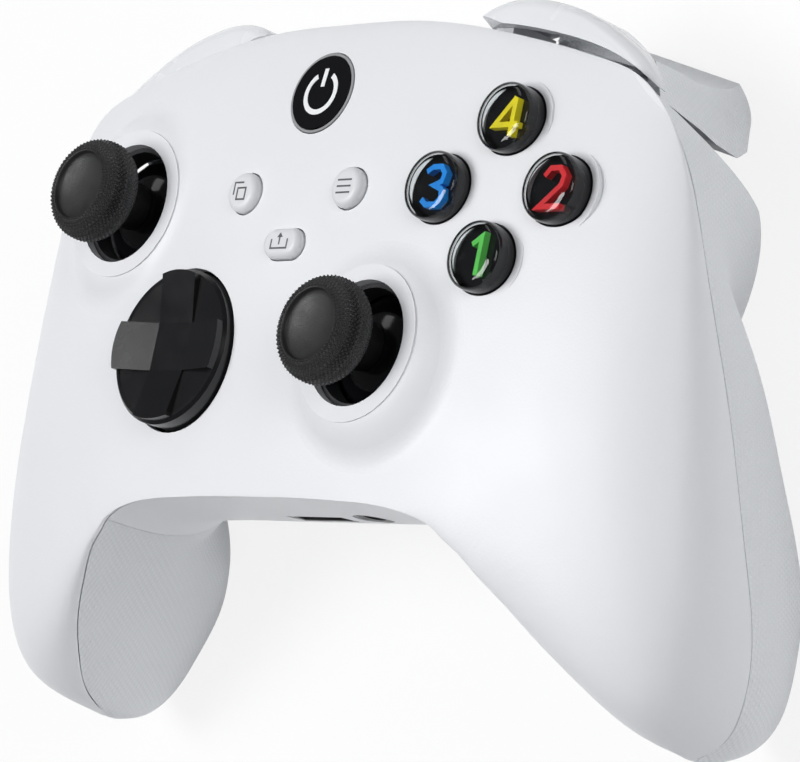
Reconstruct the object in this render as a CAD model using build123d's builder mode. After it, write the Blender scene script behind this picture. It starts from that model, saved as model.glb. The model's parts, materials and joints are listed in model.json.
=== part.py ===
from build123d import *
from math import atan2, cos, degrees, pi, radians, sin, sqrt
import os

os.makedirs("parts", exist_ok=True)

# The face frame, in which every piece is modelled: X to the right, Y towards the
# bumpers, Z out of the face, zero at the middle of the face. All lengths are in mm.

# The body's overall sizes: half its width, from the middle to the front and back
# ends, and from the face down to the lowest part of the handles.
half_width = 77.0
reach = 56.0
depth = 53.0

# How far the face falls away from its crest towards the sides, the shoulders and the ends
side_fall = 7.57
shoulder_fall = 6.0
end_fall = 5.86
crest_y = 13.5

wall = 2.0
seam_gap = 0.2
overrun = 2.0
profile_points = 25
profile_samples = 240
corner_weight = 6.0

# Sections from the middle of the body to the right handle's tip, as shares of
# half_width, reach and depth: inner seam x, y, z, outer seam x, y, z, the lowest
# point, and how far the top drops below the face's dome.
station_shares = [
    (0.0, -0.500, -0.075, 0.0, 0.832, -0.113, -0.774, 0.0),
    (0.130, -0.500, -0.075, 0.221, 0.825, -0.113, -0.774, 0.0),
    (0.234, -0.502, -0.075, 0.442, 0.779, -0.123, -0.764, 0.0),
    (0.331, -0.509, -0.085, 0.649, 0.711, -0.132, -0.745, 0.0),
    (0.409, -0.527, -0.104, 0.792, 0.629, -0.151, -0.726, 0.0),
    (0.474, -0.559, -0.132, 0.883, 0.446, -0.217, -0.736, 0.0),
    (0.497, -0.584, -0.147, 0.912, 0.295, -0.270, -0.728, 0.0),
    (0.526, -0.612, -0.166, 0.932, 0.143, -0.321, -0.808, 0.0),
    (0.571, -0.668, -0.208, 0.969, -0.179, -0.443, -0.925, 0.0),
    (0.626, -0.737, -0.274, 0.995, -0.482, -0.547, -0.994, 0.006),
    (0.686, -0.821, -0.358, 0.999, -0.714, -0.642, -1.0, 0.023),
    (0.744, -0.900, -0.462, 0.971, -0.868, -0.698, -0.977, 0.060),
    (0.791, -0.964, -0.566, 0.922, -0.955, -0.736, -0.915, 0.132),
    (0.823, -1.0, -0.675, 0.870, -0.998, -0.743, -0.830, 0.264),
    (0.840, -1.013, -0.725, 0.855, -1.012, -0.747, -0.774, 0.377),
]

# How square each section is: upper inner, upper outer, lower inner, lower outer corner
station_powers = [
    (8, 8, 3.5, 3.5),
    (8, 8, 3.5, 3.5),
    (8, 7, 3.4, 3.2),
    (7, 6, 3.2, 3.0),
    (6, 5, 3.0, 3.0),
    (5, 3.5, 3.0, 3.0),
    (4.5, 3.3, 3.1, 1.65),
    (4, 3.1, 3.1, 1.75),
    (3.5, 3.0, 2.7, 2.05),
    (3, 3.0, 2.3, 2.4),
    (2.6, 2.8, 2.1, 2.2),
    (2.4, 2.5, 2, 2.1),
    (2.2, 2.3, 2, 2),
    (2, 2, 2, 2),
    (2, 2, 2, 2),
]
hollow_stations = 13


def dome(x, y):
    """Height of the face's dome at a point."""
    across = x / half_width
    along = (y - crest_y) / reach
    return -side_fall * across**2 - shoulder_fall * across**4 - end_fall * along**2


def half_profile(shares, powers, side, upper, inset):
    """Points along the upper or lower half of one section, from inner to outer seam."""
    in_x, in_y, in_z, out_x, out_y, out_z, low_z, drop = shares
    inner = Vector(side * in_x * half_width, in_y * reach, in_z * depth)
    outer = Vector(side * out_x * half_width, out_y * reach, out_z * depth)
    inward = (outer - inner).normalized() * inset
    inward = Vector(inward.X, inward.Y, 0)
    inner, outer = inner + inward, outer - inward
    power_in, power_out = powers[:2] if upper else powers[2:]
    fine = []
    for k in range(profile_samples + 1):
        turn = pi * (1 - k / profile_samples)
        power = power_in if cos(turn) < 0 else power_out
        swing = abs(cos(turn)) ** (2 / power) * (1 if cos(turn) > 0 else -1)
        rise = abs(sin(turn)) ** (2 / power) if 0 < k < profile_samples else 0
        base = inner + (outer - inner) * ((swing + 1) / 2)
        peak = dome(base.X, base.Y) - drop * depth - inset if upper else low_z * depth + inset
        fine.append(Vector(base.X, base.Y, base.Z + (peak - base.Z) * rise))
    measure = [0.0]
    for k in range(1, len(fine)):
        step = fine[k] - fine[k - 1]
        bend = 0
        if k > 1:
            last = fine[k - 1] - fine[k - 2]
            bend = radians(last.get_angle(step))
        measure.append(measure[-1] + step.length + corner_weight * bend)
    points, k = [fine[0]], 0
    for n in range(1, profile_points - 1):
        goal = measure[-1] * n / (profile_points - 1)
        while measure[k + 1] < goal:
            k += 1
        part = (goal - measure[k]) / (measure[k + 1] - measure[k])
        points.append(fine[k] + (fine[k + 1] - fine[k]) * part)
    return points + [fine[-1]]


def body_half(upper, inset, lift, fill, stations):
    """The upper or lower half of the body as a solid, drawn in by an inset, its seam
    moved by a lift and closed by walls of a given height beyond the seam."""
    order = [(n, -1) for n in range(stations - 1, 0, -1)] + [(n, 1) for n in range(stations)]
    even = [n / (profile_points - 1) for n in range(profile_points)]
    sections = []
    for n, side in order:
        points = half_profile(station_shares[n], station_powers[n], side, upper, inset)
        points[0] += Vector(0, 0, lift)
        points[-1] += Vector(0, 0, lift)
        curve = Edge.make_spline(points, parameters=even)
        beyond = Vector(0, 0, fill)
        corners = [points[-1], points[-1] + beyond, points[0] + beyond, points[0]]
        if not fill:
            corners = [points[-1], points[0]]
        walls = [Edge.make_line(a, b) for a, b in zip(corners, corners[1:])]
        sections.append(Face(Wire([curve] + walls)))
    with BuildPart() as half:
        loft(sections=sections)
    return half.part



def post(spot, low, high, radius, mode=Mode.ADD):
    """An upright cylinder on the current piece, from one height to another."""
    with BuildSketch(Plane.XY.offset(low)) as outline:
        with Locations(spot):
            Circle(radius)
    extrude(outline.sketch, amount=high - low, mode=mode)


def block(low_corner, high_corner, mode=Mode.ADD, round_off=0):
    """A box on the current piece between two corners, its upright edges rounded."""
    low_x, low_y, low_z = low_corner
    high_x, high_y, high_z = high_corner
    with BuildSketch(Plane.XY.offset(low_z)) as outline:
        with Locations(((low_x + high_x) / 2, (low_y + high_y) / 2)):
            if round_off:
                RectangleRounded(high_x - low_x, high_y - low_y, round_off)
            else:
                Rectangle(high_x - low_x, high_y - low_y)
    extrude(outline.sketch, amount=high_z - low_z, mode=mode)


def bar(start, length, radius, mode=Mode.ADD, along=(1, 0, 0)):
    """A lying cylinder on the current piece, from a start point along a direction."""
    with BuildSketch(Plane(start, z_dir=along)) as outline:
        Circle(radius)
    extrude(outline.sketch, amount=length, mode=mode)


def upright(x, y, z):
    """The plane through a point that looks along Y, with X across and Z up."""
    return Plane((x, y, z), x_dir=(1, 0, 0), z_dir=(0, -1, 0))


def turned(x, y, z, points, mode=Mode.ADD):
    """A solid of revolution about an upright axis, from radius and height pairs."""
    with BuildSketch(upright(x, y, z)) as outline:
        with BuildLine():
            Polyline(points, close=True)
        make_face()
    revolve(outline.sketch, axis=Axis((x, y, z), (0, 0, 1)), mode=mode)


pieces = {}

# Places of the controls on the face
outer_x = 40.6
outer_y = 18.4
inner_x = 21.0
inner_y = -5.6
cluster_pitch = 10.6
guide_y = 34.7
small_x = 11.6
small_y = 18.8
share_y = 10.3
stick_spots = {"left": (-outer_x, outer_y), "right": (inner_x, inner_y)}
dpad_spot = (-inner_x, inner_y)
face_spots = {
    "south": (outer_x, outer_y - cluster_pitch),
    "east": (outer_x + cluster_pitch, outer_y),
    "west": (outer_x - cluster_pitch, outer_y),
    "north": (outer_x, outer_y + cluster_pitch),
}
small_spots = {"view": (-small_x, small_y), "menu": (small_x, small_y)}

# Clearances: a control in its hole, a still piece in its seat, a pin in its bore
control_gap = 0.22
seat_gap = 0.3
pin_gap = 0.06

# The boards, from the face down
upper_board_top = -14.0
main_board_top = -20.5
board_thickness = 1.2
main_board_thickness = 1.6
upper_board_bottom = upper_board_top - board_thickness
main_board_bottom = main_board_top - main_board_thickness

# Thumbstick openings
opening_radius = 9.7
lip_height = 2.2
lip_width = 1.7
pivot_drop = 10.7
rim_flare_shares = [(0.0, 1.0), (0.22, 0.62), (0.55, -0.35), (1.0, -2.0)]
rim_flare_width = 8.0

# D-pad opening
dpad_radius = 12.4
dpad_gap = 0.5
dpad_lip = 0.5

# Buttons on the face
face_button_radius = 5.3
face_button_proud = 3.2
face_button_travel = 1.1
guide_radius = 6.0
guide_ring_width = 0.5
small_button_radius = 3.2
share_length = 8.0
share_width = 4.7
guide_depth = 4.0
collar_wall = 1.2
flange_thickness = 0.9
hole_edge = 0.35

# Screw posts in the front shell
post_radius = 2.8
post_bore = 0.8
frame_plate_top = -22.7
frame_plate_thickness = 1.6
boss_radius = 1.6
boss_bore = 0.55
boss_spots = [(-14.0, 31.0), (25.0, 31.0), (25.0, 11.5), (-13.5, 10.5)]
post_spots = [(-57.0, 9.0), (57.0, 9.0), (-35.5, -21.5), (35.5, -21.5)]
bay_y = 2.0
bay_screw_spot = (0.0, bay_y)

share_face = dome(0, share_y)


# The battery bay and its two cells, which lie across the body
cell_radius = 7.25
cell_length = 49.2
cell_tip_radius = 2.6
cell_tip_length = 1.3
cell_pitch = 15.2
cell_z = -30.9
bay_length = 58.8
bay_width = 35.0
bay_wall = 1.6
bay_roof = 1.1
bay_top = cell_z + cell_radius + 2 * pin_gap
bay_corner = 3.4
cover_ledge = 0.7
bay_lid_top = bay_top + bay_roof
screw_posts = [(*spot, frame_plate_top) for spot in post_spots]
screw_posts.append((*bay_screw_spot, bay_lid_top))


def on_face(edge):
    """Whether an edge of the outer skin lies on the face's dome."""
    middle = edge.position_at(0.5)
    return abs(middle.Z - dome(middle.X, middle.Y)) < seam_gap


rim_fillet = 6.0
ring_wall = 0.7
ring_low = 7.9
ring_high = 11.4
cluster_holes = {name: (spot, face_button_radius) for name, spot in face_spots.items()}
small_holes = {name: (spot, small_button_radius) for name, spot in small_spots.items()}
round_holes = {**cluster_holes, **small_holes, "guide": ((0, guide_y), guide_radius + guide_ring_width)}

with BuildPart() as front_shell:
    add(body_half(True, 0, seam_gap / 2, 0, len(station_shares)))
    for x, y in stick_spots.values():
        lip = opening_radius + lip_width
        flare = [
            (lip + rim_flare_width * run, lip_height * rise) for run, rise in rim_flare_shares
        ]
        with BuildSketch(upright(x, y, dome(x, y))):
            with BuildLine():
                Polyline(flare[0], (0, lip_height), (0, flare[-1][1]), flare[-1])
                Spline(flare, tangents=[(1, -hole_edge), (1, -1)])
            make_face()
        revolve(axis=Axis((x, y, 0), (0, 0, 1)))
        crease = front_shell.edges(Select.LAST).filter_by(GeomType.BSPLINE).filter_by(on_face)
        fillet(crease, radius=rim_fillet)
    add(body_half(True, wall, 0, -overrun, hollow_stations), mode=Mode.SUBTRACT)
    for x, y in stick_spots.values():
        low = dome(x, y) - pivot_drop + ring_low
        post((x, y), low, dome(x, y) + lip_height, opening_radius + 2 * collar_wall)
        post((x, y), low - depth, dome(x, y) + overrun * lip_height, opening_radius, Mode.SUBTRACT)
    for (x, y), radius in round_holes.values():
        face = dome(x, y)
        post((x, y), face - guide_depth, face - wall / 2, radius + control_gap + collar_wall)
    share_hole = (share_length + 2 * control_gap, share_width + 2 * control_gap)
    with BuildSketch(Plane.XY.offset(share_face - guide_depth)):
        with Locations((0, share_y)):
            SlotOverall(share_hole[0] + 2 * collar_wall, share_hole[1] + 2 * collar_wall)
    extrude(amount=guide_depth - wall / 2)
    with BuildSketch(Plane.XY.offset(share_face - guide_depth)):
        with Locations((0, share_y)):
            SlotOverall(*share_hole)
    extrude(amount=guide_depth + overrun, mode=Mode.SUBTRACT)
    for (x, y), radius in round_holes.values():
        face = dome(x, y)
        post((x, y), face - depth, face + overrun, radius + control_gap, Mode.SUBTRACT)
    post(dpad_spot, -depth, depth, dpad_radius + dpad_gap, Mode.SUBTRACT)
    for x, y, low in screw_posts:
        post((x, y), low, dome(x, y) - wall / 2, post_radius)
        post((x, y), low, low / 2, post_bore, Mode.SUBTRACT)
    for x, y in boss_spots:
        post((x, y), upper_board_top, dome(x, y) - wall / 2, boss_radius)
        post((x, y), upper_board_top, upper_board_top / 2, boss_bore, Mode.SUBTRACT)
pieces["front_shell"] = front_shell

# The shoulder pockets behind bumpers and triggers, in a frame turned with the
# shoulders: its first axis runs outwards along a trigger, its second out of it.
shoulder_yaw = 17.0
finger_spot = (44.0, 44.6)
pocket_inner_x = 24.02
pocket_depth = 4.5
pocket_top = -8.0
pocket_slope = 0.417
shoulder_frame = Plane(
    (*finger_spot, 0),
    x_dir=(cos(radians(shoulder_yaw)), -sin(radians(shoulder_yaw)), 0),
    z_dir=(0, 0, 1),
)
across_shoulder = Plane(
    shoulder_frame.origin, x_dir=shoulder_frame.y_dir, z_dir=shoulder_frame.x_dir
)


def pocket_face(height, inward=0):
    """How far out of the body the pocket's back face is at a height."""
    return -pocket_depth - inward + pocket_slope * (height - pocket_top)


def shoulder_slab(near, far, low, high, reach_in, reach_out):
    """A slab along the right shoulder, from one depth behind the pocket's face to
    another, as a solid of its own."""
    with BuildPart() as slab:
        with BuildSketch(across_shoulder.offset(reach_in)):
            with BuildLine():
                Polyline(
                    (pocket_face(low, near), low),
                    (pocket_face(high, near), high),
                    (pocket_face(high, far), high),
                    (pocket_face(low, far), low),
                    close=True,
                )
            make_face()
        extrude(amount=reach_out - reach_in)
    return slab.part


with BuildPart() as pocket:
    add(shoulder_slab(-half_width, 0, -2 * depth, 0, -half_width, half_width))
    block(
        (-half_width, -reach, -2 * depth),
        (pocket_inner_x, 2 * reach, depth),
        mode=Mode.SUBTRACT,
    )
    mirror(about=Plane.YZ)

# The floor touches the handles in front and the back shell behind
floor_front_y = -41.0
floor_front_z = -52.5
floor_back_y = 28.7
floor_back_z = -39.55
floor_turn = degrees(
    atan2(floor_back_z - floor_front_z, floor_back_y - floor_front_y)
)
floor_plane = Plane(
    (0, floor_front_y, floor_front_z), x_dir=(1, 0, 0), z_dir=(0, 0, 1)
).rotated((floor_turn, 0, 0))
with BuildPart() as floor:
    with BuildSketch(floor_plane):
        Rectangle(2 * (half_width + reach), 4 * reach)
    extrude(amount=-depth)

# How the back is divided
grip_edge_shares = [(0.468, -0.72), (0.497, -0.27), (0.545, 0.14), (0.60, 0.57)]
bridge_half = 23.9
bridge_back = 38.0
bridge_low = -22.3
part_line = 0.18


def bay_prism(grow, low, high):
    """The bay's outline, grown outwards, between two heights, as a solid of its own."""
    with BuildPart() as prism:
        with BuildSketch(Plane.XY.offset(low)):
            with Locations((0, bay_y)):
                RectangleRounded(
                    bay_length + 2 * grow, bay_width + 2 * grow, bay_corner + grow
                )
        extrude(amount=high - low)
    return prism.part


def middle_region(grow):
    """The part of the back between the two side grips, grown outwards."""
    edge = [(x * half_width + grow, y * reach) for x, y in grip_edge_shares]
    with BuildPart() as region:
        with BuildSketch(Plane.XY.offset(-2 * depth)):
            with BuildLine():
                Spline(edge)
                Polyline(
                    edge[-1],
                    (edge[-1][0], 2 * reach),
                    (0, 2 * reach),
                    (0, -2 * reach),
                    (edge[0][0], -2 * reach),
                    edge[0],
                )
            make_face()
        extrude(amount=3 * depth)
        mirror(about=Plane.YZ)
    return region.part


with BuildPart() as lower_skin:
    add(body_half(False, 0, -seam_gap / 2, 0, len(station_shares)))
    add(body_half(False, wall, 0, overrun, hollow_stations), mode=Mode.SUBTRACT)
    add(pocket.part, mode=Mode.SUBTRACT)
    add(floor.part, mode=Mode.SUBTRACT)

# Sockets in the bridge between the handles and at the top
jack_x = 12.5
jack_bore = 1.8
jack_length = 12.0
jack_nose = 3.1
jack_mouth_y = -27.4
jack_z = main_board_top + jack_nose
port_width = 12.0
port_height = 3.8
port_length = 9.0
port_wall = 0.6
port_low = main_board_top
port_high = port_low + port_height
usb_width = 8.94
usb_height = 3.16
usb_length = 8.0
usb_z = upper_board_bottom - usb_height / 2
pairing_x = -13.5
pairing_z = -14.5
pairing_radius = 1.8
top_wall_y = 46.0


def lower_skin(thickness):
    """The lower half's skin, open at the shoulder pockets and flat on the floor."""
    with BuildPart() as skin:
        add(body_half(False, 0, -seam_gap / 2, 0, len(station_shares)))
        add(body_half(False, thickness, 0, overrun, hollow_stations), mode=Mode.SUBTRACT)
        add(pocket.part, mode=Mode.SUBTRACT)
        add(floor.part, mode=Mode.SUBTRACT)
    return skin.part


def bridge_room(grow):
    """Where the top bridge sits between the bumpers, grown outwards."""
    with BuildPart() as room:
        block(
            (-bridge_half - grow, bridge_back, bridge_low - grow),
            (bridge_half + grow, reach, depth),
        )
    return room.part


skin = lower_skin(wall)
hollow = body_half(False, wall, 0, overrun, hollow_stations)

with BuildPart() as bay_tub:
    add(bay_prism(bay_wall, -depth, bay_lid_top))
    add(bay_prism(0, -depth, bay_top), mode=Mode.SUBTRACT)
    add(hollow, mode=Mode.INTERSECT)

# The back shell, with the tub of the battery bay
with BuildPart() as rear_shell:
    add(skin)
    add(middle_region(-part_line / 2), mode=Mode.INTERSECT)
    add(bridge_room(part_line), mode=Mode.SUBTRACT)
    add(bay_prism(cover_ledge, -depth, bay_top), mode=Mode.SUBTRACT)
    add(bay_tub.part)
    post(bay_screw_spot, bay_top - overrun, bay_lid_top + overrun, post_bore + pin_gap, Mode.SUBTRACT)
    bar(
        (jack_x, -reach, jack_z),
        reach + jack_mouth_y + wall * 2,
        jack_nose + part_line,
        Mode.SUBTRACT,
        along=(0, 1, 0),
    )
    block(
        (-port_width / 2 - part_line, -reach, port_low - part_line),
        (port_width / 2 + part_line, jack_mouth_y + wall * 2, port_high + part_line),
        Mode.SUBTRACT,
    )
with BuildPart() as rear_shell_body:
    add(rear_shell.part.solids().sort_by(SortBy.VOLUME)[-1])
pieces["rear_shell"] = rear_shell_body

# The two side grips, outside the back shell
with BuildPart() as both_grips:
    add(skin)
    add(middle_region(part_line / 2), mode=Mode.SUBTRACT)
grip_solids = both_grips.part.solids().sort_by(Axis.X)
for name, solid in zip(("left", "right"), grip_solids):
    with BuildPart() as side_grip:
        add(solid)
    pieces[f"{name}_side_grip"] = side_grip

# The cover over the battery bay, thinner than the shell so that it sits in its ledge
with BuildPart() as battery_cover:
    add(lower_skin(wall - seat_gap))
    add(bay_prism(cover_ledge - part_line, -depth, bay_top), mode=Mode.INTERSECT)
pieces["battery_cover"] = battery_cover

# The bridge between the bumpers, with the charging socket and the pairing button
with BuildPart() as top_bridge:
    add(skin)
    add(bridge_room(0), mode=Mode.INTERSECT)
    with BuildSketch(upright(0, reach, usb_z)) as mouth:
        RectangleRounded(
            usb_width + 2 * part_line, usb_height + 2 * part_line, usb_height / 2
        )
    extrude(mouth.sketch, amount=reach, mode=Mode.SUBTRACT)
    bar(
        (pairing_x, 0, pairing_z), reach, pairing_radius + control_gap, Mode.SUBTRACT,
        along=(0, 1, 0),
    )
pieces["top_bridge"] = top_bridge


def mirrored(name, piece):
    """Keeps a right-hand piece and its mirror image on the left."""
    with BuildPart() as other:
        add(piece.part)
        mirror(about=Plane.YZ, mode=Mode.REPLACE)
    pieces[f"right_{name}"] = piece
    pieces[f"left_{name}"] = other


# Bumpers: a top plate whose outer edge follows the shoulder, and a wall below it
bumper_outline_shares = [
    (0.316, 0.868), (0.370, 0.896), (0.429, 0.902), (0.494, 0.888), (0.558, 0.863),
    (0.623, 0.823), (0.688, 0.771), (0.753, 0.705), (0.799, 0.639), (0.825, 0.600),
]
bumper_back_shares = [
    (0.836, 0.585), (0.779, 0.650), (0.701, 0.714), (0.610, 0.762), (0.500, 0.800),
    (0.429, 0.818), (0.316, 0.833),
]
bumper_top_inner = -7.2
bumper_top_outer = -9.3
bumper_height = 11.5
bumper_wall = 2.4
bumper_plate = 2.2
bumper_swing = 1.5
bumper_clearance = 1.6
bumper_round = 2.0
bumper_gap = 0.6
tail_start = 38.6
tail_foot = -19.6
tail_slope = 20.6
hinge_spot = (21.0, 40.5)
hinge_radius = 2.2
hinge_pin_radius = 1.0
hinge_low = -19.7
hinge_high = -10.0
shelf_top = -20.0
shelf_thickness = 1.6
shelf_low = shelf_top - shelf_thickness

bumper_slope = degrees(
    atan2(bumper_top_outer - bumper_top_inner, half_width / 2)
)


def bumper_plane(drop):
    """The bumper's sloping top, lowered."""
    lowered = Plane(
        (pocket_inner_x, 0, bumper_top_inner - drop), x_dir=(1, 0, 0), z_dir=(0, 0, 1)
    )
    return lowered.rotated((0, -bumper_slope, 0))


def above_bumper_plane(drop):
    """All the room above the bumper's lowered top."""
    with BuildPart() as room:
        with BuildSketch(bumper_plane(drop)):
            Rectangle(4 * half_width, 4 * reach)
        extrude(amount=depth)
    return room.part


def tail_room(lift):
    """All the room above the plane that thins the bumper's outer end, moved down."""
    foot = Plane((tail_start, 0, tail_foot - lift), x_dir=(1, 0, 0), z_dir=(0, 0, 1))
    with BuildPart() as room:
        with BuildSketch(foot.rotated((0, -tail_slope, 0))):
            Rectangle(4 * half_width, 4 * reach)
        extrude(amount=2 * depth)
    return room.part


def scaled(shares):
    """Points in the plan view from shares of the body's half width and reach."""
    return [(x * half_width, y * reach) for x, y in shares]


outer_points = scaled(bumper_outline_shares)
back_points = scaled(bumper_back_shares)
first_corner, last_corner = outer_points[0], outer_points[-1]


def drawn_in(points, distance):
    """Points of an outline moved square to it, to its right."""
    moved = []
    for k, (x, y) in enumerate(points):
        x0, y0 = points[max(k - 1, 0)]
        x1, y1 = points[min(k + 1, len(points) - 1)]
        length = sqrt((x1 - x0) ** 2 + (y1 - y0) ** 2)
        moved.append((x + (y1 - y0) / length * distance, y - (x1 - x0) / length * distance))
    return moved


def bumper_body(inset, low_drop, high_drop):
    """The solid inside the bumper's outer line, drawn in by an inset, between two
    lowered tops."""
    line = drawn_in(outer_points, inset)
    with BuildPart() as body:
        with BuildSketch(Plane.XY.offset(-depth)):
            with BuildLine():
                Spline(line)
                Polyline(line[-1], (line[-1][0], 0), (line[0][0], 0), line[0])
            make_face()
        extrude(amount=depth)
        add(above_bumper_plane(high_drop), mode=Mode.SUBTRACT)
        add(above_bumper_plane(low_drop), mode=Mode.INTERSECT)
    return body


bumper_shape = bumper_body(0, bumper_height, 0)
with bumper_shape:
    rims = bumper_shape.edges().filter_by(GeomType.BSPLINE).sort_by(Axis.Z)
    fillet(rims[-1], radius=bumper_round)
with BuildPart() as plate_back:
    with BuildSketch(Plane.XY.offset(-depth)):
        with BuildLine():
            Spline(back_points)
            Polyline(back_points[-1], (back_points[-1][0], 0), (back_points[0][0], 0), back_points[0])
        make_face()
    extrude(amount=depth)
with BuildPart() as under_plate:
    add(bumper_body(bumper_wall, depth / 2, bumper_plate).part)
    block((-half_width, -reach, -depth), (first_corner[0] + bumper_wall, reach, 0), Mode.SUBTRACT)
arm_points = [
    (hinge_spot[0] - hinge_pin_radius, hinge_spot[1] - hinge_radius),
    (hinge_spot[0] + hinge_radius, hinge_spot[1] - hinge_radius),
    (outer_points[0][0] + 2 * bumper_wall, outer_points[0][1] - 2 * bumper_wall),
    (outer_points[0][0] + 2 * bumper_wall, outer_points[0][1] - bumper_wall / 2),
    (outer_points[0][0] + bumper_wall / 2, outer_points[0][1] - bumper_wall / 2),
    (outer_points[0][0] + bumper_wall / 2, hinge_spot[1] + hinge_radius - bumper_gap),
    (hinge_spot[0] - hinge_pin_radius, hinge_spot[1] + hinge_radius - bumper_gap),
]
with BuildPart() as bumper:
    add(bumper_shape.part)
    add(plate_back.part, mode=Mode.SUBTRACT)
    add(under_plate.part, mode=Mode.SUBTRACT)
    add(
        shoulder_slab(-half_width, -bumper_clearance, -depth, 0, -half_width, half_width),
        mode=Mode.INTERSECT,
    )
    add(tail_room(0), mode=Mode.INTERSECT)
    with BuildSketch(Plane.XY.offset(hinge_low + bumper_gap)):
        with BuildLine():
            Polyline(arm_points, close=True)
        make_face()
    extrude(amount=hinge_high - hinge_low - bumper_gap)
    post(hinge_spot, hinge_low, hinge_high, hinge_radius)
    post(hinge_spot, hinge_low, hinge_high, hinge_pin_radius + pin_gap, Mode.SUBTRACT)
mirrored("bumper", bumper)

# Triggers, drawn in the shoulder frame
trigger_pivot = (-4.6, -15.0)
trigger_barrel = 2.4
trigger_half = 8.5
pin_radius = 1.1
trigger_swing = 15.0
trigger_inner_u = -15.2
trigger_skin = 2.4
finger_points = [(0.0, -10.0), (0.0, -19.5), (-0.25, -24.0), (0.4, -28.0), (1.3, -31.0), (2.6, -33.6)]
cheek_points = [
    (1.0, -34.4), (-3.2, -33.0), (-6.8, -30.4), (-8.3, -27.4), (-7.8, -23.0), (-6.8, -20.0), (-4.6, -10.0),
]
ear_room_points = [(-1.6, -19.8), (-1.6, -8.0), (-12.0, -8.0), (-12.0, -19.8)]
ear_room_end = 12.2
inner_finger_points = [(-2.4, -22.6), (-2.5, -25.0), (-1.7, -29.0), (-0.6, -31.6)]
inner_cheek_points = [(-3.2, -30.8), (-9.0, -28.5), (-9.0, -22.6)]
web_points = [
    (-6.6, -15.0), (-2.6, -15.0), (-1.4, -20.5), (-1.4, -29.0), (-5.6, -29.6), (-7.4, -27.5),
    (-7.4, -23.6), (-6.6, -20.0),
]
trigger_plan = [(-15.2, -10.0), (-15.2, 8.0), (4.0, 8.0), (24.0, -10.0)]
trigger_round = 2.2
trigger_motor_radius = 2.0
trigger_motor_length = 9.0
trigger_motor_spot = (-5.0, -26.0)
ear_thickness = 1.5
ear_start = 10.0
spring_radius = 1.9


def shoulder_point(u, v, w):
    """A point of the shoulder frame in the face frame."""
    return shoulder_frame.from_local_coords(Vector(u, v, w))


def along_trigger(points, start, end, mode=Mode.ADD):
    """Extrudes a profile of the shoulder frame along the trigger."""
    with BuildSketch(across_shoulder.offset(start)) as profile:
        with BuildLine():
            Polyline(points, close=True)
        make_face()
    extrude(profile.sketch, amount=end - start, mode=mode)


def trigger_bar(spot, start, end, radius, mode=Mode.ADD):
    """A cylinder along the trigger."""
    bar(shoulder_point(start, *spot), end - start, radius, mode, along=shoulder_frame.x_dir)


trigger_outer_u = trigger_plan[3][0]
with BuildPart() as trigger:
    with BuildSketch(across_shoulder.offset(trigger_inner_u)):
        with BuildLine():
            Line(finger_points[0], finger_points[1])
            Spline(finger_points[1:])
            Spline(finger_points[-1], *cheek_points[:2])
            Polyline(cheek_points[1:] + [finger_points[0]])
        make_face()
    extrude(amount=trigger_outer_u - trigger_inner_u)
    with BuildSketch(shoulder_frame.offset(-depth)):
        with BuildLine():
            Polyline(trigger_plan, close=True)
        make_face()
    extrude(amount=depth, mode=Mode.INTERSECT)
    add(
        above_bumper_plane(bumper_height + bumper_gap) & tail_room(bumper_gap), mode=Mode.SUBTRACT
    )
    along_trigger(ear_room_points, trigger_inner_u, ear_room_end, Mode.SUBTRACT)
    along_trigger(
        inner_finger_points + inner_cheek_points,
        trigger_inner_u + trigger_skin,
        trigger_half + 2 * trigger_skin,
        Mode.SUBTRACT,
    )
    along_trigger(web_points, -trigger_half, trigger_half)
    trigger_bar(trigger_pivot, -trigger_half, trigger_half, trigger_barrel)
    trigger_bar(trigger_pivot, -trigger_half, trigger_half, pin_radius + pin_gap, Mode.SUBTRACT)
    trigger_bar(
        trigger_motor_spot,
        -trigger_half,
        trigger_motor_length - trigger_half,
        trigger_motor_radius + pin_gap,
        Mode.SUBTRACT,
    )
mirrored("trigger", trigger)

with BuildPart() as trigger_motor:
    trigger_bar(
        trigger_motor_spot,
        -trigger_half,
        trigger_motor_length - trigger_half,
        trigger_motor_radius,
    )
mirrored("trigger_motor", trigger_motor)

ear_end = ear_start + ear_thickness
with BuildPart() as trigger_pins:
    trigger_bar(trigger_pivot, -ear_end, ear_end, pin_radius)
    mirror(about=Plane.YZ)
pieces["trigger_pins"] = trigger_pins

with BuildPart() as trigger_springs:
    trigger_bar(trigger_pivot, trigger_half + pin_gap, ear_start - pin_gap, spring_radius)
    trigger_bar(
        trigger_pivot, trigger_half, ear_start, pin_radius + pin_gap, Mode.SUBTRACT
    )
    mirror(about=Plane.YZ)
pieces["trigger_springs"] = trigger_springs

# Thumbsticks: each has a rocker turning about X, a shaft turning about Y on it,
# and a cap that clicks down on the shaft. Heights are above the stick's pivot.
housing_half = 7.0
housing_wall = 1.0
housing_floor = 0.8
housing_top = 1.5
rocker_radius = 3.3
rocker_half = 5.7
trunnion_radius = 1.5
trunnion_half = 6.9
slot_length = 6.4
slot_width = 3.4
shaft_radius = 1.6
shaft_low = -4.2
shaft_high = 14.0
cross_pin_radius = 0.8
cross_pin_half = 3.1
skirt_radius = 11.5
skirt_wall = 0.9
skirt_reach = 70.0
hub_radius = 3.2
hub_low = 5.6
neck_radius = 3.8
neck_top = 15.6
cap_profile = [
    (6.2, 16.2), (7.2, 16.9), (7.75, 17.9), (7.9, 19.1), (7.8, 20.3), (7.45, 21.4), (6.8, 22.3), (6.1, 22.85),
]
dish_edge_radius = 5.6
dish_edge = 23.0
dish_middle = 21.6
click_travel = 0.6
ring_gap = 0.1


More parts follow.
